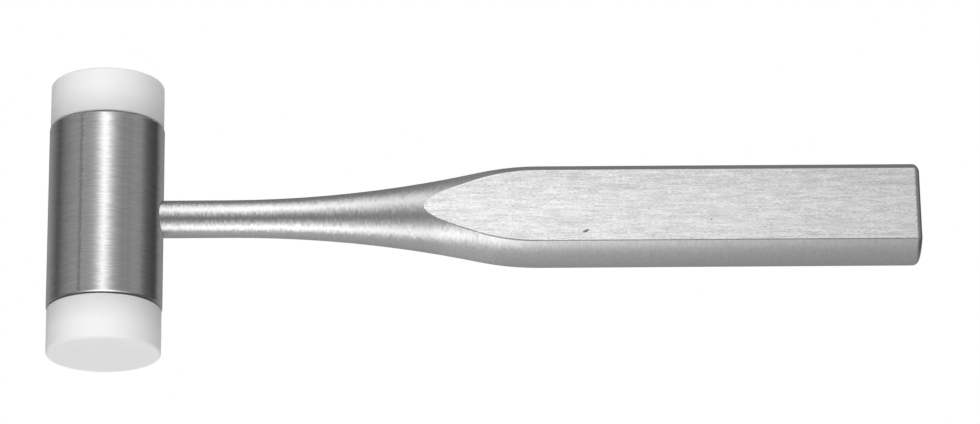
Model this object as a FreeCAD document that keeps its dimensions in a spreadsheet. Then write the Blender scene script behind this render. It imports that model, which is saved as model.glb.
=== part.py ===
import FreeCAD
import Part
import math
import os
import re

import Sketcher

# A surgeon's bone mallet: a steel barrel head with a screwed-in nylon facing at each
# end, on a turned aluminium handle whose grip has two milled flats. Millimetres.
#
# Frame: the origin is the centre of the front striking face. The head's axis runs from
# it along +Y, the handle points along +X, and the grip's flats face +Z and -Z.
# The front facing is at the head's -Y end and the rear facing at its +Y end.
# Every piece is drawn about the point where the head's axis crosses the handle's, and
# its Placement then carries that point to its place.

# Driving dimensions: first what shows outside, then what holds the mallet together.
DIMENSIONS = {
    "head_diameter": 30.0,
    "head_length": 49.2,
    "head_edge_chamfer": 0.3,
    "facing_diameter": 29.6,
    "facing_thickness": 12.0,
    "facing_gap": 0.4,
    "facing_edge_radius": 0.8,
    "facing_back_chamfer": 0.2,
    "shaft_diameter": 9.8,
    "flare_start": 32.0,
    "shoulder_radius": 77.0,
    "grip_start": 112.5,
    "grip_diameter": 26.5,
    "grip_across_flats": 18.0,
    "flat_edge_radius": 0.5,
    "handle_end": 211.5,
    "butt_edge_radius": 1.4,
    # Each facing turns on a bolt moulded into it, over a split lock washer. The washer
    # holds the facing's back off the head's end face.
    "spigot_diameter": 20.0,
    "spigot_length": 3.0,
    "spigot_chamfer": 0.5,
    "counterbore_diameter": 20.3,
    "facing_thread": 10.0,
    "facing_pitch": 1.5,
    "facing_tap_drill": 8.5,
    "facing_tapping_floor": 8.0,
    "facing_tapping_relief": 2.0,
    "bolt_tip": 10.0,
    "bolt_tip_chamfer": 1.0,
    "bolt_neck_start": 20.4,
    "bolt_neck_diameter": 7.8,
    "bolt_head_seat": 26.0,
    "bolt_head_height": 6.4,
    "bolt_head_across_flats": 16.0,
    "washer_thickness": 2.2,
    "washer_inner_diameter": 10.4,
    "washer_outer_diameter": 18.1,
    "washer_split": 1.2,
    # A stud screwed into the shaft holds the handle. A cross pin holds it in the head.
    "shaft_tip": 9.0,
    "shaft_tip_chamfer": 0.4,
    "shaft_socket_diameter": 9.88,
    "socket_mouth_diameter": 10.3,
    "socket_mouth_floor": 13.0,
    "handle_thread": 6.0,
    "handle_pitch": 1.0,
    "handle_tap_drill": 5.0,
    "shaft_tapping_floor": 26.0,
    "shaft_tapping_relief": 1.6,
    "stud_inner_end": -5.0,
    "stud_outer_end": 24.0,
    "stud_chamfer": 0.6,
    "stud_neck_length": 1.2,
    "stud_neck_diameter": 4.6,
    "stud_bore_diameter": 6.08,
    "stud_bore_floor": -6.0,
    "cross_pin_diameter": 3.0,
    "cross_pin_length": 12.0,
    "cross_pin_chamfer": 0.3,
    "cross_pin_hole_diameter": 3.08,
    # Room at faces that touch or run on each other, and all round a thread's ridge.
    "running_gap": 0.04,
    "thread_clearance": 0.08,
}

# ISO metric thread form: a 60 degree V, with an outer thread cut this share of a pitch.
FLANK_SLOPE = math.tan(math.radians(30))
OUTER_THREAD_DEPTH = 0.6134

# The slope of the cone that a 118 degree drill leaves at the bottom of its hole.
DRILL_SLOPE = 1 / math.tan(math.radians(59))

# How far a cutter runs clear of what it cuts, and how near counts as the same place.
OVERCUT = 1.0
NEAR = 0.01

HEAD_END = "head_length / 2"
SPIGOT_END = f"( {HEAD_END} - spigot_length )"
COUNTERBORE_FLOOR = f"( {SPIGOT_END} - washer_thickness - 2 * running_gap )"
FACING_BACK = f"( {HEAD_END} + facing_gap )"
STRIKING_FACE = f"( {FACING_BACK} + facing_thickness )"
SOCKET_FLOOR = "( shaft_tip - running_gap )"

# Where each thread's first groove is centred. A hole's groove takes the ridge of the
# thread inside it, so it lies half a pitch off that thread's own groove.
BOLT_GROOVE = "( bolt_tip - facing_pitch )"
BOLT_HOLE_GROOVE = f"( {BOLT_GROOVE} + facing_pitch / 2 )"
STUD_GROOVE = "( shaft_tip + stud_neck_length / 2 )"
STUD_HOLE_GROOVE = f"( {STUD_GROOVE} - 3 * handle_pitch / 2 )"

doc = FreeCAD.newDocument("Mallet")


def make_sheet():
    """Puts the driving dimensions in a spreadsheet, one row each, with an alias."""
    table = doc.addObject("Spreadsheet::Sheet", "Dims")
    for row, (alias, number) in enumerate(DIMENSIONS.items(), start=1):
        table.set(f"A{row}", alias.replace("_", " "))
        table.set(f"B{row}", str(number))
        table.setAlias(f"B{row}", alias)
    doc.recompute()
    return table


sheet = make_sheet()


def bound(text):
    """An expression in dimension names, rewritten to read them from the sheet."""
    return re.sub(r"\b[a-z]\w*", lambda word: f"Dims.{word.group()}", str(text))


def value(text):
    """What an expression in dimension names comes to."""
    return float(sheet.evalExpression(bound(text)))


def origin_feature(body, role):
    """A body's own origin plane or axis, such as XY_Plane or Y_Axis."""
    return next(f for f in body.Origin.OriginFeatures if f.Role == role)


def new_body(label, half_turned=False):
    """A body drawn about the crossing of the axes, turned to face the front if asked."""
    body = doc.addObject("PartDesign::Body", label)
    body.Label = label
    turn = FreeCAD.Rotation(FreeCAD.Vector(0, 0, 1), 180 if half_turned else 0)
    body.Placement = FreeCAD.Placement(FreeCAD.Vector(0, 0, 0), turn)
    body.setExpression("Placement.Base.y", bound(STRIKING_FACE))
    return body


def new_sketch(body, name, plane):
    """A sketch on one of the body's own origin planes."""
    sketch = body.newObject("Sketcher::SketchObject", name)
    sketch.AttachmentSupport = [(origin_feature(body, plane), "")]
    sketch.MapMode = "FlatFace"
    return sketch


def hold(sketch, kind, parts, text):
    """Adds a dimension of that kind to parts of a sketch, tied to the sheet."""
    index = sketch.addConstraint(Sketcher.Constraint(kind, *parts, value(text)))
    sketch.setExpression(f"Constraints[{index}]", bound(text))


def hold_point(sketch, line, end, across, up):
    """Holds one end of a line at the place that two expressions give."""
    for kind, text, axis in (("DistanceX", across, -2), ("DistanceY", up, -1)):
        if abs(value(text)) < NEAR**2:
            sketch.addConstraint(Sketcher.Constraint("PointOnObject", line, end, axis))
        else:
            hold(sketch, kind, (-1, 1, line, end), text)


def draw_polygon(sketch, points):
    """Draws a closed outline of straight lines between pairs of expressions."""
    corners = [FreeCAD.Vector(value(x), value(y), 0) for x, y in points]
    first = sketch.GeometryCount
    count = len(points)
    for n in range(count):
        sketch.addGeometry(Part.LineSegment(corners[n], corners[(n + 1) % count]), False)
    for n in range(count):
        after = first + (n + 1) % count
        sketch.addConstraint(Sketcher.Constraint("Coincident", first + n, 2, after, 1))
    for n, (x, y) in enumerate(points):
        hold_point(sketch, first + n, 1, x, y)


def draw_circle(sketch, diameter):
    """Draws a circle about the sketch's origin."""
    centre = FreeCAD.Vector(0, 0, 0)
    sketch.addGeometry(Part.Circle(centre, FreeCAD.Vector(0, 0, 1), value(diameter) / 2), False)
    sketch.addConstraint(Sketcher.Constraint("Coincident", 0, 3, -1, 1))
    hold(sketch, "Diameter", (0,), diameter)


def draw_hexagon(sketch, across_flats):
    """Draws a hexagon about the sketch's origin."""
    half = f"( {across_flats} ) / 2"
    side = f"( {across_flats} ) * {0.5 / math.sqrt(3)}"
    right = [(f"2 * {side}", "0"), (side, half)]
    left = [(f"-1 * {side}", half), (f"-2 * {side}", "0")]
    lower = [(f"-1 * {side}", f"-1 * {half}"), (side, f"-1 * {half}")]
    draw_polygon(sketch, right + left + lower)


def grow(body, feature, before):
    """Recomputes a feature that adds material, and stops if it added none."""
    doc.recompute()
    if body.Shape.Volume < before + NEAR:
        raise RuntimeError(f"{feature.Label} added nothing to {body.Label}")


def cut(body, feature, before):
    """Recomputes a feature that removes material, and stops if it removed none."""
    doc.recompute()
    if body.Shape.Volume > before - NEAR:
        raise RuntimeError(f"{feature.Label} cut nothing from {body.Label}")


def turn_outline(body, kind, name, axis, points):
    """Turns a closed outline on the XY plane about an axis: a Revolution or a Groove."""
    before = body.Shape.Volume if body.Shape.Solids else 0.0
    sketch = new_sketch(body, f"{name}_outline", "XY_Plane")
    draw_polygon(sketch, points)
    feature = body.newObject(f"PartDesign::{kind}", name)
    feature.Profile = sketch
    feature.ReferenceAxis = (origin_feature(body, axis), [""])
    feature.Angle = 360
    if kind == "Groove":
        cut(body, feature, before)
    else:
        grow(body, feature, before)
    return feature


def half_turn(points):
    """The same points, half a turn about +Z: for what faces the front."""
    return [(f"-1 * ( {x} )", f"-1 * ( {y} )") for x, y in points]


def along_x(points):
    """Points given as (radius, along), for a piece that lies along X."""
    return [(along, radius) for radius, along in points]


def ridge_half_width(size, pitch, radius):
    """Half of an outer thread's width along its axis at some radius."""
    return f"( {pitch} / 16 + ( {size} / 2 - ( {radius} ) ) * {FLANK_SLOPE} )"


def groove_points(start, radii, halves):
    """The four corners of a thread groove whose middle starts at start."""
    low, high = radii
    low_half, high_half = halves
    return [
        (low, f"{start} - {low_half}"),
        (high, f"{start} - {high_half}"),
        (high, f"{start} + {high_half}"),
        (low, f"{start} + {low_half}"),
    ]


def outer_groove(size, pitch, start):
    """The groove between the ridges of an outer thread, as (radius, along)."""
    radii = (f"{size} / 2 - {pitch} * {OUTER_THREAD_DEPTH}", f"{size} / 2 + {pitch} / 20")
    halves = [f"( {pitch} / 2 - {ridge_half_width(size, pitch, r)} )" for r in radii]
    return groove_points(start, radii, halves)


def inner_groove(size, pitch, tap_drill, start):
    """The groove in a tapped hole: an outer thread's ridge, with room all round it."""
    radii = (f"{tap_drill} / 2 - {pitch} / 20", f"{size} / 2 + thread_clearance")
    halves = [f"( {ridge_half_width(size, pitch, r)} + thread_clearance )" for r in radii]
    return groove_points(start, radii, halves)


def cut_thread(body, name, axis, points, pitch, length, backwards=False):
    """Sweeps a groove's outline along a right-hand helix and removes it."""
    before = body.Shape.Volume
    sketch = new_sketch(body, f"{name}_form", "XY_Plane")
    draw_polygon(sketch, points)
    helix = body.newObject("PartDesign::SubtractiveHelix", name)
    helix.Profile = sketch
    helix.ReferenceAxis = (origin_feature(body, axis), [""])
    helix.Mode = "pitch-height-angle"
    helix.Reversed = backwards
    helix.setExpression("Pitch", bound(pitch))
    helix.setExpression("Height", bound(length))
    cut(body, helix, before)
    return helix


def pocket(body, name, draw, start, length, both_ways=False):
    """Cuts a sketch's outline along +Y from a place on the head's axis, or both ways."""
    before = body.Shape.Volume
    sketch = new_sketch(body, f"{name}_outline", "XZ_Plane")
    sketch.setExpression("AttachmentOffset.Base.z", bound(f"-1 * ( {start} )"))
    draw(sketch)
    feature = body.newObject("PartDesign::Pocket", name)
    feature.Profile = sketch
    feature.Midplane = both_ways
    feature.setExpression("Length", bound(length))
    cut(body, feature, before)
    return feature


def fillet(body, name, edges, radius):
    """Rounds edges of the body's latest feature."""
    before = body.Shape.Volume
    tip = body.Tip
    feature = body.newObject("PartDesign::Fillet", name)
    feature.Base = (tip, edges)
    feature.setExpression("Radius", bound(radius))
    cut(body, feature, before)


def local_low_y(body, edge):
    """An edge's lowest Y in its body's own frame."""
    return min(body.Placement.inverse().multVec(v.Point).y for v in edge.Vertexes)


def edges_where(body, wanted):
    """The names of the body's edges that meet a test."""
    return [f"Edge{n}" for n, edge in enumerate(body.Shape.Edges, start=1) if wanted(edge)]


def draw_handle(sketch):
    """Half of the turned handle: shaft, hollow flare, round shoulder and grip."""
    shaft = "shaft_diameter / 2"
    grip = "grip_diameter / 2"
    tip = [
        ("shaft_tip", "0"),
        ("shaft_tip", f"{shaft} - shaft_tip_chamfer"),
        ("shaft_tip + shaft_tip_chamfer", shaft),
        ("flare_start", shaft),
    ]
    butt = [("grip_start", grip), ("handle_end", grip), ("handle_end", "0")]
    tip_corners = [FreeCAD.Vector(value(x), value(y), 0) for x, y in tip]
    butt_corners = [FreeCAD.Vector(value(x), value(y), 0) for x, y in butt]

    # The flare is a hollow arc that runs smoothly into the shoulder's round one. Both
    # turn through the same angle, and their radii together follow from its size.
    run = value("grip_start - flare_start")
    rise = value(f"{grip} - {shaft}")
    both_radii = (run**2 + rise**2) / (2 * rise)
    swing = math.asin(run / both_radii)
    shoulder = value("shoulder_radius")
    hollow = both_radii - shoulder
    up = FreeCAD.Vector(0, 1, 0)
    normal = FreeCAD.Vector(0, 0, 1)
    hollow_circle = Part.Circle(tip_corners[3] + up * hollow, normal, hollow)
    shoulder_circle = Part.Circle(butt_corners[0] - up * shoulder, normal, shoulder)
    quarter = math.pi / 2

    for start, end in zip(tip_corners, tip_corners[1:]):
        sketch.addGeometry(Part.LineSegment(start, end), False)
    sketch.addGeometry(Part.ArcOfCircle(hollow_circle, -quarter, swing - quarter), False)
    sketch.addGeometry(Part.ArcOfCircle(shoulder_circle, quarter, quarter + swing), False)
    for start, end in zip(butt_corners, butt_corners[1:] + tip_corners[:1]):
        sketch.addGeometry(Part.LineSegment(start, end), False)

    joins = [
        ("Coincident", 0, 2, 1, 1),
        ("Coincident", 1, 2, 2, 1),
        ("Tangent", 2, 2, 3, 1),
        ("Tangent", 3, 2, 4, 2),
        ("Tangent", 4, 1, 5, 1),
        ("Coincident", 5, 2, 6, 1),
        ("Coincident", 6, 2, 7, 1),
        ("Coincident", 7, 2, 0, 1),
    ]
    for join in joins:
        sketch.addConstraint(Sketcher.Constraint(*join))
    for line, (x, y) in zip((0, 1, 2), tip):
        hold_point(sketch, line, 1, x, y)
    hold_point(sketch, 2, 2, *tip[3])
    for line, (x, y) in zip((5, 6, 7), butt):
        hold_point(sketch, line, 1, x, y)
    hold(sketch, "Radius", (4,), "shoulder_radius")


def draw_flats(sketch):
    """What the cutter takes off both sides of the grip, as seen along the head's axis."""
    near = "grip_across_flats / 2"
    far = f"grip_diameter / 2 + {OVERCUT}"
    start = "flare_start"
    end = f"handle_end + {OVERCUT}"
    for side in (1, -1):
        low = f"{side} * {near}"
        high = f"{side} * ( {far} )"
        draw_polygon(sketch, [(start, low), (end, low), (end, high), (start, high)])


def rod_points(radius, chamfer, low, high):
    """Half of a plain round bar with chamfered ends, as (radius, along)."""
    return [
        ("0", low),
        (f"{radius} - {chamfer}", low),
        (radius, f"{low} + {chamfer}"),
        (radius, f"{high} - {chamfer}"),
        (f"{radius} - {chamfer}", high),
        ("0", high),
    ]


def bore_points(radius, low, high):
    """Half of a plain bore between two places, as (radius, along)."""
    return [("0", low), (radius, low), (radius, high), ("0", high)]


def tapped_hole_points(size, tap_drill, floor, relief, mouth, outward):
    """Half of a drilled hole with a thread relief at its floor, as (radius, along).

    outward is 1 or -1: the way the hole faces. The drill's cone lies beyond its floor.
    """
    core = f"{tap_drill} / 2"
    relief_radius = f"{size} / 2 + 2 * thread_clearance"
    relief_end = f"{floor} + {outward} * {relief}"
    return [
        ("0", f"{floor} - {outward} * {core} * {DRILL_SLOPE}"),
        (core, floor),
        (relief_radius, floor),
        (relief_radius, relief_end),
        (core, relief_end),
        (core, mouth),
        ("0", mouth),
    ]


def make_head():
    """The barrel: a counterbored tapped hole in each end, and a socket in its side."""
    body = new_body("head_body")
    barrel = rod_points("head_diameter / 2", "head_edge_chamfer", f"-1 * {HEAD_END}", HEAD_END)
    turn_outline(body, "Revolution", "barrel", "Y_Axis", barrel)
    cut_facing_hole(body, "rear", list, False)
    cut_facing_hole(body, "front", half_turn, True)
    cut_handle_socket(body)
    return body


def cut_facing_hole(body, end, place, backwards):
    """The hole in one end of the head that takes a facing's spigot, washer and bolt."""
    drilled = tapped_hole_points("facing_thread", "facing_tap_drill", "facing_tapping_floor",
                                 "facing_tapping_relief", COUNTERBORE_FLOOR, 1)
    turn_outline(body, "Groove", f"{end}_hole", "Y_Axis", place(drilled))
    outside = f"{HEAD_END} + {OVERCUT}"
    counterbore = bore_points("counterbore_diameter / 2", COUNTERBORE_FLOOR, outside)
    turn_outline(body, "Groove", f"{end}_counterbore", "Y_Axis", place(counterbore))
    groove = inner_groove("facing_thread", "facing_pitch", "facing_tap_drill", BOLT_HOLE_GROOVE)
    length = f"{COUNTERBORE_FLOOR} + facing_pitch / 2 - {BOLT_HOLE_GROOVE}"
    cut_thread(body, f"{end}_thread", "Y_Axis", place(groove), "facing_pitch", length, backwards)


def cut_handle_socket(body):
    """The hole in the head's side for the shaft's end and the stud, and the pin's hole."""
    bores = [
        ("stud_bore", "stud_bore_diameter / 2", "stud_bore_floor"),
        ("shaft_socket", "shaft_socket_diameter / 2", SOCKET_FLOOR),
        ("socket_mouth", "socket_mouth_diameter / 2", "socket_mouth_floor"),
    ]
    for name, radius, floor in bores:
        outline = bore_points(radius, floor, f"head_diameter / 2 + {OVERCUT}")
        turn_outline(body, "Groove", name, "X_Axis", along_x(outline))
    cut_pin_hole(body, "2 * facing_tapping_floor")


def cut_pin_hole(body, length):
    """The hole for the cross pin, along the head's axis through the stud."""
    pocket(body, "pin_hole", lambda sketch: draw_circle(sketch, "cross_pin_hole_diameter"),
           "0", length, True)


def make_handle():
    """The turned handle: a tapped shaft, the flare, and the grip with its two flats."""
    body = new_body("handle")
    sketch = new_sketch(body, "turning_outline", "XY_Plane")
    draw_handle(sketch)
    turning = body.newObject("PartDesign::Revolution", "turning")
    turning.Profile = sketch
    turning.ReferenceAxis = (origin_feature(body, "X_Axis"), [""])
    turning.Angle = 360
    grow(body, turning, 0.0)
    pocket(body, "flats", draw_flats, "0", f"grip_diameter + {OVERCUT}", True)
    round_grip_edges(body)
    drilled = tapped_hole_points("handle_thread", "handle_tap_drill", "shaft_tapping_floor",
                                 "shaft_tapping_relief", f"shaft_tip - {OVERCUT}", -1)
    turn_outline(body, "Groove", "stud_hole", "X_Axis", along_x(drilled))
    groove = inner_groove("handle_thread", "handle_pitch", "handle_tap_drill", STUD_HOLE_GROOVE)
    length = f"shaft_tapping_floor - shaft_tapping_relief / 2 - {STUD_HOLE_GROOVE}"
    cut_thread(body, "stud_thread", "X_Axis", along_x(groove), "handle_pitch", length)
    return body


def round_grip_edges(body):
    """Eases the edges of the two flats, then rounds the rim of the handle's end."""
    butt = value("handle_end") - NEAR
    flat = value("grip_across_flats / 2")
    sides = edges_where(body, lambda edge: edge.BoundBox.XMin < butt and lies_at(edge, flat))
    fillet(body, "flat_edges", sides, "flat_edge_radius")
    rim = edges_where(body, lambda edge: edge.BoundBox.XMin > butt)
    fillet(body, "butt_edge", rim, "butt_edge_radius")


def lies_at(edge, height):
    """Whether an edge lies wholly at one height above or below the handle's axis."""
    box = edge.BoundBox
    return box.ZLength < NEAR and abs(abs(box.ZMax) - height) < NEAR


def make_stud():
    """The stud that joins the shaft to the head: plain in the head, threaded beyond."""
    body = new_body("handle_stud")
    radius = "handle_thread / 2"
    rod = rod_points(radius, "stud_chamfer", "stud_inner_end", "stud_outer_end")
    turn_outline(body, "Revolution", "rod", "X_Axis", along_x(rod))
    neck = "stud_neck_diameter / 2"
    start = "shaft_tip - running_gap"
    end = "shaft_tip + stud_neck_length"
    ring = [(neck, start), (radius, start), (radius, end), (neck, end)]
    turn_outline(body, "Groove", "neck", "X_Axis", along_x(ring))
    groove = outer_groove("handle_thread", "handle_pitch", STUD_GROOVE)
    length = f"stud_outer_end + handle_pitch - {STUD_GROOVE}"
    cut_thread(body, "thread", "X_Axis", along_x(groove), "handle_pitch", length)
    cut_pin_hole(body, "2 * handle_thread")
    return body


def make_cross_pin():
    """The pin through the head and the stud, which keeps the stud from turning."""
    body = new_body("handle_cross_pin")
    half = "cross_pin_length / 2"
    rod = rod_points("cross_pin_diameter / 2", "cross_pin_chamfer", f"-1 * {half}", half)
    turn_outline(body, "Revolution", "rod", "Y_Axis", rod)
    return body


def make_facing(label, half_turned):
    """A nylon facing: a puck with a spigot, hollow inside for the bolt's head."""
    body = new_body(label, half_turned)
    radius = "facing_diameter / 2"
    spigot = "spigot_diameter / 2"
    puck = [
        ("0", SPIGOT_END),
        (f"{spigot} - spigot_chamfer", SPIGOT_END),
        (spigot, f"{SPIGOT_END} + spigot_chamfer"),
        (spigot, FACING_BACK),
        (f"{radius} - facing_back_chamfer", FACING_BACK),
        (radius, f"{FACING_BACK} + facing_back_chamfer"),
        (radius, STRIKING_FACE),
        ("0", STRIKING_FACE),
    ]
    turn_outline(body, "Revolution", "puck", "Y_Axis", puck)
    face = value(STRIKING_FACE) - NEAR
    rim = edges_where(body, lambda edge: local_low_y(body, edge) > face and edge.isClosed())
    fillet(body, "striking_edge", rim, "facing_edge_radius")
    room = "2 * running_gap"
    pocket(body, "shank_hole", lambda sketch: draw_circle(sketch, f"facing_thread + {room}"),
           SPIGOT_END, f"bolt_head_seat - {SPIGOT_END}")
    hexagon = f"bolt_head_across_flats + {room}"
    pocket(body, "head_cavity", lambda sketch: draw_hexagon(sketch, hexagon),
           "bolt_head_seat - running_gap", f"bolt_head_height + {room}")
    return body


def make_bolt(label, half_turned):
    """The hexagon-headed bolt that a facing is moulded onto."""
    body = new_body(label, half_turned)
    radius = "facing_thread / 2"
    neck = "bolt_neck_diameter / 2"
    shank = [
        ("0", "bolt_tip"),
        (f"{radius} - bolt_tip_chamfer", "bolt_tip"),
        (radius, "bolt_tip + bolt_tip_chamfer"),
        (radius, "bolt_neck_start"),
        (neck, "bolt_neck_start"),
        (neck, SPIGOT_END),
        (radius, SPIGOT_END),
        (radius, "bolt_head_seat"),
        ("0", "bolt_head_seat"),
    ]
    turn_outline(body, "Revolution", "shank", "Y_Axis", shank)
    groove = outer_groove("facing_thread", "facing_pitch", BOLT_GROOVE)
    length = f"bolt_neck_start + facing_pitch / 2 - {BOLT_GROOVE}"
    cut_thread(body, "thread", "Y_Axis", groove, "facing_pitch", length)
    before = body.Shape.Volume
    sketch = new_sketch(body, "head_outline", "XZ_Plane")
    sketch.setExpression("AttachmentOffset.Base.z", bound("-1 * bolt_head_seat"))
    draw_hexagon(sketch, "bolt_head_across_flats")
    head = body.newObject("PartDesign::Pad", "hexagon_head")
    head.Profile = sketch
    head.Reversed = True
    head.setExpression("Length", bound("bolt_head_height"))
    grow(body, head, before)
    return body


def make_washer(label, half_turned):
    """The split lock washer between a facing's spigot and the floor of its hole."""
    body = new_body(label, half_turned)
    inner = "washer_inner_diameter / 2"
    outer = "washer_outer_diameter / 2"
    low = f"{COUNTERBORE_FLOOR} + running_gap"
    high = f"{SPIGOT_END} - running_gap"
    ring = [(inner, low), (outer, low), (outer, high), (inner, high)]
    turn_outline(body, "Revolution", "ring", "Y_Axis", ring)

    def draw_split(sketch):
        half = "washer_split / 2"
        start = f"{inner} - {OVERCUT}"
        end = f"{outer} + {OVERCUT}"
        near = f"-1 * {half}"
        draw_polygon(sketch, [(start, near), (end, near), (end, half), (start, half)])

    pocket(body, "split", draw_split, "0", "head_length", True)
    return body


def make_all():
    """Every sub-part of the mallet, in the order it goes together."""
    parts = [make_head(), make_handle(), make_stud(), make_cross_pin()]
    for end, half_turned in (("front", True), ("rear", False)):
        parts.append(make_facing(f"{end}_facing", half_turned))
        parts.append(make_bolt(f"{end}_facing_bolt", half_turned))
        parts.append(make_washer(f"{end}_lock_washer", half_turned))
    return parts


def check_document(parts):
    """Stops if any object failed to recompute or any sub-part isn't one sound solid."""
    for item in doc.Objects:
        if "Invalid" in item.State or "Error" in item.State:
            raise RuntimeError(f"{item.Label} didn't recompute: {item.State}")
    for part in parts:
        shape = part.Shape
        if shape.isNull() or not shape.isValid() or len(shape.Solids) != 1:
            raise RuntimeError(f"{part.Label} isn't one valid solid")


def export(parts):
    """Writes each sub-part to its own STEP file, named after the sub-part."""
    os.makedirs("parts", exist_ok=True)
    for part in parts:
        part.Shape.exportStep(f"parts/{part.Label}.step")


mallet = make_all()
doc.recompute()
check_document(mallet)
export(mallet)
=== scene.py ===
import math

import bpy
from mathutils import Matrix, Vector


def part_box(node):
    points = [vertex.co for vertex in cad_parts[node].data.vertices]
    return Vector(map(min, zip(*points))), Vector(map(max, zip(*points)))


# The looks of the bone mallet: a brushed steel head, a satin aluminium handle whose two
# flats are brushed lengthwise, and white nylon facings, on a white table in a small studio.
# Metres, in the mallet's own frame: +X along the handle, +Y along the head's axis, +Z up.

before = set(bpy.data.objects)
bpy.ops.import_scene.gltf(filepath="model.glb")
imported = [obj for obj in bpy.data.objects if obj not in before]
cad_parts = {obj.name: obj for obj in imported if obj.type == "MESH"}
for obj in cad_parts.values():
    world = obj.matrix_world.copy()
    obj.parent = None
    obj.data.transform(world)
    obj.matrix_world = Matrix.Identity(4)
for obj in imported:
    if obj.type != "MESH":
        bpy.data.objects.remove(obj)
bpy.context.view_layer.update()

MM = 0.001

HANDLE_AXIS = (1.0, 0.0, 0.0)
HEAD_AXIS = (0.0, 1.0, 0.0)
UP = (0.0, 0.0, 1.0)

# How deep the tool marks and the brushing are.
MARK_DEPTH = 0.002 * MM

head_low, head_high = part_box("head_body")
handle_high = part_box("handle")[1]
flat_height = handle_high.z
butt_end = handle_high.x

# Where the head's axis and the handle's cross. The middle of the head's box is a hair off
# in X, because of the mesh's facets.
head_centre = (head_low + head_high) / 2
head_centre.x = 0.0


# Shader building. Each helper makes its nodes and wires them in one call.

def wire(tree, node, socket, source):
    """Sets an input to a value, or links it to another node's output."""
    target = node.inputs[socket]
    if isinstance(source, bpy.types.NodeSocket):
        tree.links.new(source, target)
    else:
        target.default_value = source


def add(tree, kind, settings=None, inputs=None):
    """Adds a shader node. settings are its properties, and inputs its sockets."""
    node = tree.nodes.new("ShaderNode" + kind)
    for key, choice in (settings or {}).items():
        setattr(node, key, choice)
    for socket, source in (inputs or {}).items():
        wire(tree, node, socket, source)
    return node


def calc(tree, operation, *values):
    """A Math node on one to three values."""
    return add(tree, "Math", {"operation": operation}, dict(enumerate(values))).outputs[0]


def vector_calc(tree, operation, *values):
    """A Vector Math node on one or two vectors. The result is a vector, or a number."""
    node = add(tree, "VectorMath", {"operation": operation}, dict(enumerate(values)))
    is_number = operation in ("DOT_PRODUCT", "LENGTH")
    return node.outputs["Value" if is_number else "Vector"]


def remap(tree, value, from_low, from_high, to_low, to_high, shape="SMOOTHSTEP"):
    """Carries a value from one range to another, clamped at both ends."""
    inputs = {
        "Value": value,
        "From Min": from_low,
        "From Max": from_high,
        "To Min": to_low,
        "To Max": to_high,
    }
    return add(tree, "MapRange", {"interpolation_type": shape}, inputs).outputs["Result"]


def product(tree, first, *others):
    """Several numbers multiplied together."""
    for other in others:
        first = calc(tree, "MULTIPLY", first, other)
    return first


def scaled(tree, vector, amount):
    """A vector made longer or shorter."""
    inputs = {0: vector, "Scale": amount}
    return add(tree, "VectorMath", {"operation": "SCALE"}, inputs).outputs["Vector"]


def blend(tree, share, first, second):
    """Between two numbers, or two vectors, by a share from 0 to 1. Of two vectors, the
    first is an output."""
    is_vector = isinstance(first, bpy.types.NodeSocket) and first.type == "VECTOR"
    kind = "VECTOR" if is_vector else "FLOAT"
    node = add(tree, "Mix", {"data_type": kind})
    slots = [slot for slot in node.inputs if slot.enabled]
    for slot, source in zip(slots, (share, first, second)):
        if isinstance(source, bpy.types.NodeSocket):
            tree.links.new(source, slot)
        else:
            slot.default_value = source
    return next(slot for slot in node.outputs if slot.enabled)


def noise(tree, place, detail=2.0, scale=1.0):
    """Soft noise around 0.5, one feature per unit of place."""
    inputs = {"Vector": place, "Scale": scale, "Detail": detail}
    return add(tree, "TexNoise", None, inputs).outputs[0]


def mottled(tree, noise_value, amount):
    """Noise as a tone around 1, darker and lighter by the amount. Noise is seldom outside
    0.25 to 0.75."""
    return remap(tree, noise_value, 0.25, 0.75, 1 - amount, 1 + amount, "LINEAR")


def by_angle(tree, degrees, stops):
    """Brightness by an angle from -180 to 180: stops are (degrees, brightness), in order."""
    node = add(tree, "ValToRGB")
    elements = node.color_ramp.elements
    node.color_ramp.interpolation = "LINEAR"
    while len(elements) < len(stops):
        elements.new(0.5)
    for element, (angle, level) in zip(elements, stops):
        element.position = (angle + 180) / 360
        element.color = (level, level, level, 1.0)
    wire(tree, node, "Fac", calc(tree, "MULTIPLY_ADD", degrees, 1 / 360, 0.5))
    return node.outputs["Color"]


def new_material(name):
    """An empty node material, its tree and its output node."""
    material = bpy.data.materials.new(name)
    material.use_nodes = True
    tree = material.node_tree
    tree.nodes.clear()
    return material, tree, add(tree, "OutputMaterial")


# Where a point is on a turned part, and how the tool's marks run there.

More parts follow.
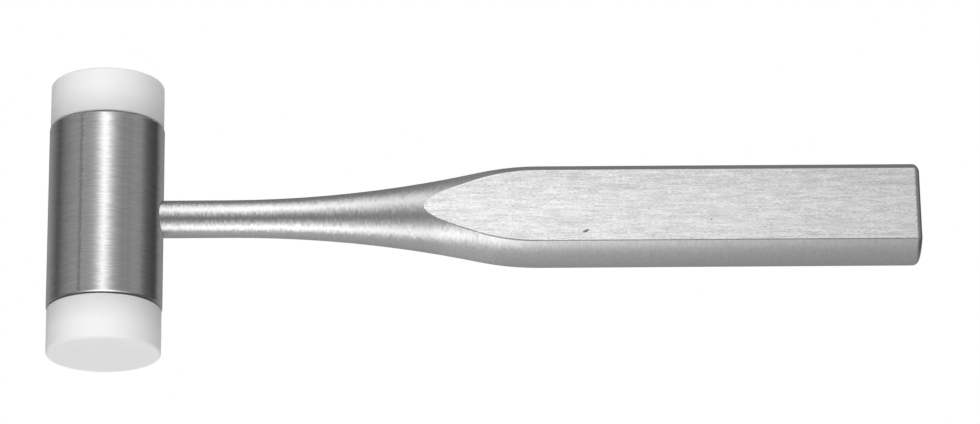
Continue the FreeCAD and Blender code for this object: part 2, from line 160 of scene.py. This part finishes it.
class Turned:
    """Places on a part turned about an axis, in the mallet's own frame at rest."""

    def __init__(self, tree, axis, centre):
        self.tree = tree
        texture = add(tree, "TexCoord")
        self.place = texture.outputs["Object"]
        self.normal = texture.outputs["Normal"]
        offset = vector_calc(tree, "SUBTRACT", self.place, centre)
        self.along = vector_calc(tree, "DOT_PRODUCT", offset, axis)
        self.spoke = vector_calc(tree, "SUBTRACT", offset, scaled(tree, axis, self.along))
        self.radius = vector_calc(tree, "LENGTH", self.spoke)
        self.around = vector_calc(tree, "CROSS_PRODUCT", axis, offset)
        self.axis = axis

    def rings(self, length, thickness):
        """Where to read noise for marks that run round the axis."""
        tree = self.tree
        reach = calc(tree, "DIVIDE", calc(tree, "ADD", self.along, self.radius), thickness)
        shrunk = scaled(tree, self.spoke, 1 / length)
        return vector_calc(tree, "ADD", shrunk, scaled(tree, self.axis, reach))

    def turned_normal(self):
        """The normal, put exactly in line with the spoke, so that no facet shows."""
        tree = self.tree
        lean = vector_calc(tree, "DOT_PRODUCT", self.normal, self.axis)
        outward = calc(tree, "SQRT", calc(tree, "SUBTRACT", 1.0, calc(tree, "POWER", lean, 2.0)))
        spoke = scaled(tree, vector_calc(tree, "NORMALIZE", self.spoke), outward)
        turned = vector_calc(tree, "ADD", spoke, scaled(tree, self.axis, lean))
        # A surface that isn't turned keeps its own normal. The two then differ by more
        # than about 10 degrees.
        agreement = vector_calc(tree, "DOT_PRODUCT", turned, self.normal)
        is_turned = remap(tree, agreement, 0.985, 0.995, 0.0, 1.0)
        return blend(tree, is_turned, self.normal, turned)

    def across_rings(self):
        """The direction on the surface that crosses the marks."""
        return vector_calc(self.tree, "CROSS_PRODUCT", self.normal, self.around)


def to_world(tree, direction):
    """A direction on the part, carried into the scene wherever the part's body has gone."""
    settings = {"vector_type": "VECTOR", "convert_from": "OBJECT", "convert_to": "WORLD"}
    return add(tree, "VectorTransform", settings, {"Vector": direction}).outputs["Vector"]


def swayed(tree, part, normal, noise_value, sway):
    """A normal, rocked about the part's axis by up to sway radians or so."""
    amount = product(tree, calc(tree, "SUBTRACT", noise_value, 0.5), sway, 2.0)
    around = vector_calc(tree, "NORMALIZE", part.around)
    rocked = vector_calc(tree, "ADD", normal, scaled(tree, around, amount))
    return vector_calc(tree, "NORMALIZE", to_world(tree, rocked))


def bump(tree, marks, normal=None):
    """A normal tilted by tool marks, whose heights come from noise."""
    height = calc(tree, "MULTIPLY", marks, MARK_DEPTH)
    inputs = {"Strength": 1.0, "Distance": 1.0, "Height": height}
    if normal is not None:
        inputs["Normal"] = normal
    return add(tree, "Bump", None, inputs).outputs["Normal"]


def metal(tree, output, tone, roughness, grain, tangent, normal, marks):
    """A bare metal. Its highlights spread along tangent, across its brushing, and grain is
    how much more they do so than the other way."""
    inputs = {
        "Base Color": tone,
        "Metallic": 1.0,
        "Roughness": roughness,
        "Anisotropic": grain,
        "Tangent": to_world(tree, tangent),
        "Normal": bump(tree, marks, normal),
    }
    shader = add(tree, "BsdfPrincipled", None, inputs)
    wire(tree, output, "Surface", shader.outputs["BSDF"])


# Materials.

def head_steel():
    """Stainless steel, brushed round the head's axis."""
    material, tree, output = new_material("head_steel")
    part = Turned(tree, HEAD_AXIS, head_centre)
    fine = noise(tree, part.rings(3.6 * MM, 0.36 * MM), detail=1.5)
    wide = noise(tree, part.rings(9.0 * MM, 1.6 * MM))
    waver = noise(tree, part.rings(2.2 * MM, 0.40 * MM), detail=1.5)
    steel = 0.72
    metal(
        tree, output,
        tone=product(tree, mottled(tree, fine, 0.08), mottled(tree, wide, 0.04), steel),
        roughness=0.22,
        grain=0.95,
        tangent=part.across_rings(),
        normal=swayed(tree, part, part.turned_normal(), waver, sway=0.045),
        marks=fine,
    )
    return material


def on_flat(tree, part):
    """A share that is 1 on the grip's two flats and 0 elsewhere."""
    level = calc(tree, "ABSOLUTE", vector_calc(tree, "DOT_PRODUCT", part.normal, UP))
    height = calc(tree, "ABSOLUTE", vector_calc(tree, "DOT_PRODUCT", part.place, UP))
    # Fully level is within about 3 degrees.
    is_level = remap(tree, level, 0.985, 0.999, 0.0, 1.0)
    slack = 0.02 * MM
    is_high = calc(tree, "GREATER_THAN", height, flat_height - slack)
    return calc(tree, "MULTIPLY", is_level, is_high)


def streaks(tree, place, length, thickness):
    """Noise drawn out along X, for brushing that runs along the handle."""
    stretch = (1 / length, 1 / thickness, 1 / thickness)
    return noise(tree, vector_calc(tree, "MULTIPLY", place, stretch))


def nick(tree, place, centre, half_size, degrees):
    """A share that is 1 in the middle of a small oval and 0 from its edge on. The oval is
    turned by the degrees on its flat."""
    turn = math.radians(degrees)
    half_length, half_width, half_depth = half_size
    along = (math.cos(turn) / half_length, math.sin(turn) / half_length, 0.0)
    across = (-math.sin(turn) / half_width, math.cos(turn) / half_width, 0.0)
    offset = vector_calc(tree, "SUBTRACT", place, centre)
    inputs = {
        "X": vector_calc(tree, "DOT_PRODUCT", offset, along),
        "Y": vector_calc(tree, "DOT_PRODUCT", offset, across),
        "Z": vector_calc(tree, "DOT_PRODUCT", offset, (0.0, 0.0, 1 / half_depth)),
    }
    spread = add(tree, "CombineXYZ", None, inputs).outputs["Vector"]
    return remap(tree, vector_calc(tree, "LENGTH", spread), 0.5, 1.0, 1.0, 0.0)


def nicks(tree, place):
    """The two nicks in the upper flat, a slanted one and a dot."""
    slanted = nick(
        tree, place, centre=(124.4 * MM, 29.9 * MM, flat_height),
        half_size=(1.15 * MM, 0.45 * MM, 1.0 * MM), degrees=25,
    )
    dot = nick(
        tree, place, centre=(156.9 * MM, 32.8 * MM, flat_height),
        half_size=(0.4 * MM, 0.2 * MM, 1.0 * MM), degrees=0,
    )
    return calc(tree, "MAXIMUM", slanted, dot)


def flat_tone_and_painted_shade(tree, part):
    """The flats' brushing, with painted shade towards +Y, and the two nicks in the upper one."""
    short = mottled(tree, streaks(tree, part.place, 0.9 * MM, 0.18 * MM), 0.30)
    long = mottled(tree, streaks(tree, part.place, 3.2 * MM, 0.24 * MM), 0.19)
    bands = mottled(tree, streaks(tree, part.place, 14.0 * MM, 1.0 * MM), 0.11)
    cloud = mottled(tree, streaks(tree, part.place, 5.0 * MM, 1.8 * MM), 0.08)
    scratches = remap(tree, streaks(tree, part.place, 3.0 * MM, 0.2 * MM), 0.28, 0.36, 0.82, 1.0)
    nick_darkness = 0.75
    unmarked = calc(tree, "MULTIPLY_ADD", nicks(tree, part.place), -nick_darkness, 1.0)
    # Painted shade towards +Y: the flats are darker on that side, where they reflect less light.
    across = vector_calc(tree, "DOT_PRODUCT", part.place, HEAD_AXIS)
    painted_rear_shade = remap(tree, across, 38.0 * MM, 44.0 * MM, 1.03, 0.94)
    aluminium = 0.82
    return product(tree, short, long, bands, cloud, scratches, unmarked, painted_rear_shade, aluminium)


def round_tone_and_painted_light(tree, part, satin, rings):
    """The turned surface, with painted shade beside the head, where the head blocks some of the
    light, and a painted highlight where the flare ends. It is also darker towards the butt."""
    marks = product(tree, mottled(tree, satin, 0.05), mottled(tree, rings, 0.10))
    # Painted shade beside the head, which blocks some of the light.
    head_painted_shade = remap(tree, part.along, 15 * MM, 40 * MM, 0.59, 0.65)
    # A painted highlight where the flare ends, brightening its reflection there.
    flare_highlight_rise = remap(tree, part.along, 82 * MM, 91 * MM, 1.0, 1.16)
    flare_highlight_fall = remap(tree, part.along, 97 * MM, 106 * MM, 1.16, 1.0)
    flare_painted_highlight = calc(tree, "MINIMUM", flare_highlight_rise, flare_highlight_fall)
    by_butt = remap(tree, part.along, 110 * MM, 200 * MM, 1.0, 0.88, "LINEAR")
    return product(tree, marks, head_painted_shade, flare_painted_highlight, by_butt)


def handle_aluminium():
    """Aluminium: satin where it is turned, and brushed lengthwise on the two flats."""
    material, tree, output = new_material("handle_aluminium")
    part = Turned(tree, HANDLE_AXIS, head_centre)
    is_flat = on_flat(tree, part)
    satin = noise(tree, part.place, detail=3.0, scale=1 / (0.9 * MM))
    rings = noise(tree, part.rings(1.6 * MM, 0.28 * MM))
    waver = noise(tree, part.rings(1.4 * MM, 0.50 * MM), detail=3.0)

    # The highlights are softer and steadier on the grip than on the shaft.
    round_roughness = remap(tree, part.along, 40 * MM, 100 * MM, 0.31, 0.38)
    round_sway = remap(tree, part.along, 90 * MM, 130 * MM, 0.17, 0.06)
    normal = blend(tree, is_flat, part.turned_normal(), part.normal)
    metal(
        tree, output,
        tone=blend(tree, is_flat, round_tone_and_painted_light(tree, part, satin, rings), flat_tone_and_painted_shade(tree, part)),
        roughness=blend(tree, is_flat, round_roughness, 0.40),
        grain=blend(tree, is_flat, 0.2, 0.8),
        tangent=blend(tree, is_flat, part.across_rings(), HEAD_AXIS),
        normal=swayed(tree, part, normal, waver, blend(tree, is_flat, round_sway, 0.0)),
        marks=rings,
    )
    return material


def facing_nylon():
    """White nylon: milky, with faint tool rings, and painted shade where it meets the steel."""
    material, tree, output = new_material("facing_nylon")
    part = Turned(tree, HEAD_AXIS, head_centre)
    rings = noise(tree, part.rings(12.0 * MM, 0.35 * MM))
    cloud = noise(tree, part.place, detail=3.0, scale=1 / (3.0 * MM))
    head_half = (head_high.y - head_low.y) / 2
    # Painted shade near the steel: the nylon darkens where it meets the head, where less light
    # comes back out of it.
    past_steel = calc(tree, "SUBTRACT", calc(tree, "ABSOLUTE", part.along), head_half)
    painted_steel_shade = remap(tree, past_steel, -1.0 * MM, 9.0 * MM, 0.78, 1.0)
    nylon = 0.94
    inputs = {
        "Base Color": product(tree, painted_steel_shade, mottled(tree, cloud, 0.012), nylon),
        "Roughness": remap(tree, rings, 0.3, 0.7, 0.36, 0.46, "LINEAR"),
        "Specular IOR Level": 0.25,
        "Subsurface Weight": 0.6,
        "Subsurface Radius": (1.0, 1.0, 1.0),
        "Subsurface Scale": 2.5 * MM,
        "Normal": bump(tree, rings),
    }
    shader = add(tree, "BsdfPrincipled", None, inputs)
    wire(tree, output, "Surface", shader.outputs["BSDF"])
    return material


def fastener_steel():
    """Bright turned steel for the bolts, washers, stud and pin."""
    material, tree, output = new_material("fastener_steel")
    part = Turned(tree, HEAD_AXIS, head_centre)
    rings = noise(tree, part.rings(1.0 * MM, 0.12 * MM))
    steel = 0.64
    metal(
        tree, output,
        tone=product(tree, mottled(tree, rings, 0.08), steel),
        roughness=0.3,
        grain=0.6,
        tangent=part.across_rings(),
        normal=add(tree, "NewGeometry").outputs["Normal"],
        marks=rings,
    )
    return material


def dress(material, *names):
    """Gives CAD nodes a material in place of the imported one."""
    for name in names:
        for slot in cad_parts[name].material_slots:
            slot.material = material


# The studio: two softboxes that the metal mirrors, soft lights for the nylon, dim walls
# that only reflections show, and the table.

def softbox(name, along, distance, size, spread, lamp, brightness):
    """A glowing panel that faces the head's centre. along is its angle from straight up,
    towards +Y. size, spread and lamp run along X, then across it: the panel's size, how
    far out the glow is down to a quarter, and the glow's centre from the panel's middle.
    brightness is in watts per square metre."""
    width, height = size
    light = bpy.data.lights.new(name, "AREA")
    light.shape = "RECTANGLE"
    light.size = width
    light.size_y = height
    light.energy = brightness * width * height
    light.use_nodes = True
    tree = light.node_tree
    tree.nodes.clear()
    place = add(tree, "NewGeometry").outputs["Parametric"]
    parts = add(tree, "SeparateXYZ", None, {"Vector": place})
    glow = 1.0
    for axis, length, reach, centre in zip("XY", size, spread, lamp):
        away = calc(tree, "MULTIPLY_ADD", parts.outputs[axis], length, -length / 2 - centre)
        fading = calc(tree, "POWER", calc(tree, "DIVIDE", away, reach), 2.0)
        falloff = calc(tree, "POWER", calc(tree, "ADD", fading, 1.0), -2.0)
        glow = calc(tree, "MULTIPLY", glow, falloff)
    emission = add(tree, "Emission", None, {"Strength": glow})
    output = add(tree, "OutputLight")
    wire(tree, output, "Surface", emission.outputs["Emission"])
    panel = bpy.data.objects.new(name, light)
    bpy.context.scene.collection.objects.link(panel)
    tilt = math.radians(along)
    towards = Vector((0.0, math.sin(tilt), math.cos(tilt)))
    panel.location = head_centre + towards * distance
    panel.rotation_euler = (-tilt, 0.0, 0.0)
    panel.visible_camera = False


def soft_key(name, towards, distance, size, brightness):
    """A broad light for the nylon, which the metal doesn't mirror. towards is its direction
    from the head's centre, and brightness is in watts."""
    light = bpy.data.lights.new(name, "AREA")
    light.size = size
    light.energy = brightness
    lamp = bpy.data.objects.new(name, light)
    bpy.context.scene.collection.objects.link(lamp)
    lamp.location = head_centre + Vector(towards).normalized() * distance
    lamp.rotation_euler = Vector(towards).to_track_quat("Z", "Y").to_euler()
    lamp.visible_camera = False
    lamp.visible_glossy = False


def studio_walls():
    """What surrounds the table: white to the camera, dim greys in every reflection."""
    world = bpy.data.worlds.new("studio")
    bpy.context.scene.world = world
    world.use_nodes = True
    tree = world.node_tree
    tree.nodes.clear()
    sky = add(tree, "TexCoord").outputs["Generated"]
    parts = add(tree, "SeparateXYZ", None, {"Vector": sky})
    x, y, z = (parts.outputs[axis] for axis in "XYZ")

    # The side walls, by the angle from straight up towards +X.
    side_view = by_angle(tree, calc(tree, "DEGREES", calc(tree, "ARCTAN2", x, z)), (
        # Beyond the left panel's outer edge.
        (-180, 0.35), (-150, 0.33), (-135, 0.27), (-120, 0.18), (-107, 0.10), (-99, 0.12),
        # The left panel, and the thin gap inside it.
        (-95, 0.17), (-86, 0.23), (-68, 0.32), (-51, 0.36), (-48, 0.03), (-45, 0.41), (-36, 0.32),
        # Overhead, then the right panel, with a faint gap in it.
        (12, 0.28), (39, 0.26), (45, 0.33), (49, 0.27), (60, 0.33), (76, 0.32),
        # The wide gap beyond it.
        (86, 0.19), (95, 0.12), (116, 0.06), (124, 0.07), (130, 0.17), (140, 0.28),
        (155, 0.32), (180, 0.35),
    ))

    # The end walls, by the angle from straight up towards +Y.
    end_view = by_angle(tree, calc(tree, "DEGREES", calc(tree, "ARCTAN2", y, z)), (
        # The front wall, brightest level with the table.
        (-180, 0.35), (-140, 0.45), (-112, 0.53), (-96, 0.58), (-84, 0.58), (-66, 0.38),
        # Overhead, then the rear wall.
        (-40, 0.28), (-20, 0.23), (0, 0.25), (40, 0.28), (80, 0.32), (96, 0.29), (124, 0.22),
        (180, 0.27),
    ))

    # Directions that lean far enough to either side meet the side walls, and the rest the
    # end walls.
    sideways = remap(tree, calc(tree, "ABSOLUTE", x), 0.20, 0.50, 0.0, 1.0)
    grey = blend(tree, sideways, end_view, side_view)
    is_camera = add(tree, "LightPath").outputs["Is Camera Ray"]
    strength = blend(tree, is_camera, grey, 1.0)
    white = (1.0, 1.0, 1.0, 1.0)
    background = add(tree, "Background", None, {"Color": white, "Strength": strength})
    output = add(tree, "OutputWorld")
    wire(tree, output, "Surface", background.outputs["Background"])


def table():
    """A white tabletop that touches the head and the lower edge of the butt. It can be
    seen through from below, so that nothing hides the mallet's underside."""
    rise = (head_high.z - flat_height) / butt_end
    bpy.ops.mesh.primitive_plane_add(size=3.0)
    plane = bpy.context.object
    plane.name = "table"
    plane.location = (0.0, head_centre.y, head_low.z)
    plane.rotation_euler = (0.0, -math.atan(rise), 0.0)
    plane.visible_glossy = False
    plane.visible_diffuse = False
    plane.visible_shadow = False
    material, tree, output = new_material("table")
    glow = add(tree, "Emission", None, {"Strength": 1.0})
    clear = add(tree, "BsdfTransparent")
    from_below = add(tree, "NewGeometry").outputs["Backfacing"]
    shaders = {0: from_below, 1: glow.outputs["Emission"], 2: clear.outputs["BSDF"]}
    mix = add(tree, "MixShader", None, shaders)
    wire(tree, output, "Surface", mix.outputs["Shader"])
    plane.data.materials.append(material)


# The camera, looking steeply down at the mallet from beyond the front facing.

def camera(azimuth, elevation, roll, target, distance, lens):
    """A camera round the target. Azimuth 0 looks along +Y; angles are in degrees."""
    turn, rise, lean = (math.radians(angle) for angle in (azimuth, elevation, roll))
    back = Vector((
        math.sin(turn) * math.cos(rise),
        -math.cos(turn) * math.cos(rise),
        math.sin(rise),
    ))
    level = Vector(UP).cross(back).normalized()
    upright = back.cross(level)
    right = math.cos(lean) * level + math.sin(lean) * upright
    up = back.cross(right)
    data = bpy.data.cameras.new("camera")
    data.lens = lens
    data.sensor_width = 36.0
    data.clip_start = 0.01
    eye = bpy.data.objects.new("camera", data)
    bpy.context.scene.collection.objects.link(eye)
    placed = Matrix((right, up, back)).transposed().to_4x4()
    placed.translation = target + back * distance
    eye.matrix_world = placed
    bpy.context.scene.camera = eye


dress(head_steel(), "head_body")
dress(handle_aluminium(), "handle")
dress(facing_nylon(), "front_facing", "rear_facing")
dress(
    fastener_steel(),
    "handle_stud", "handle_cross_pin",
    "front_facing_bolt", "front_lock_washer",
    "rear_facing_bolt", "rear_lock_washer",
)

# The head's brushing smears the handle's reflection until none of it shows.
for name in ("handle", "handle_stud"):
    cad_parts[name].visible_glossy = False

studio_walls()
softbox(
    "far_softbox", along=43, distance=2.0, size=(3.0, 4.0), spread=(0.63, 1.42),
    lamp=(0.02, 0.0), brightness=6.7,
)
softbox(
    "near_softbox", along=-60, distance=0.45, size=(0.7, 0.62), spread=(0.17, 0.24),
    lamp=(0.0, -0.08), brightness=6.3,
)
soft_key("nylon_key", (-0.15, 0.0, 1.0), distance=1.5, size=1.4, brightness=11.6)
soft_key("nylon_front", (-0.1, -1.0, 0.3), distance=1.5, size=1.4, brightness=0.7)
soft_key("table_bounce", (0.1, 0.0, -1.0), distance=0.8, size=2.4, brightness=19.0)
table()

# The camera's target is a little past the mallet's middle, towards the butt and the rear.
mallet_middle = Vector(((head_low.x + butt_end) / 2, head_centre.y, head_centre.z))
past_middle = Vector((1.664, 1.509, 0.0)) * MM
camera(
    azimuth=-3.89, elevation=69.94, roll=3.292,
    target=mallet_middle + past_middle, distance=1.0576, lens=149.07,
)
bpy.context.scene.view_settings.view_transform = "Standard"
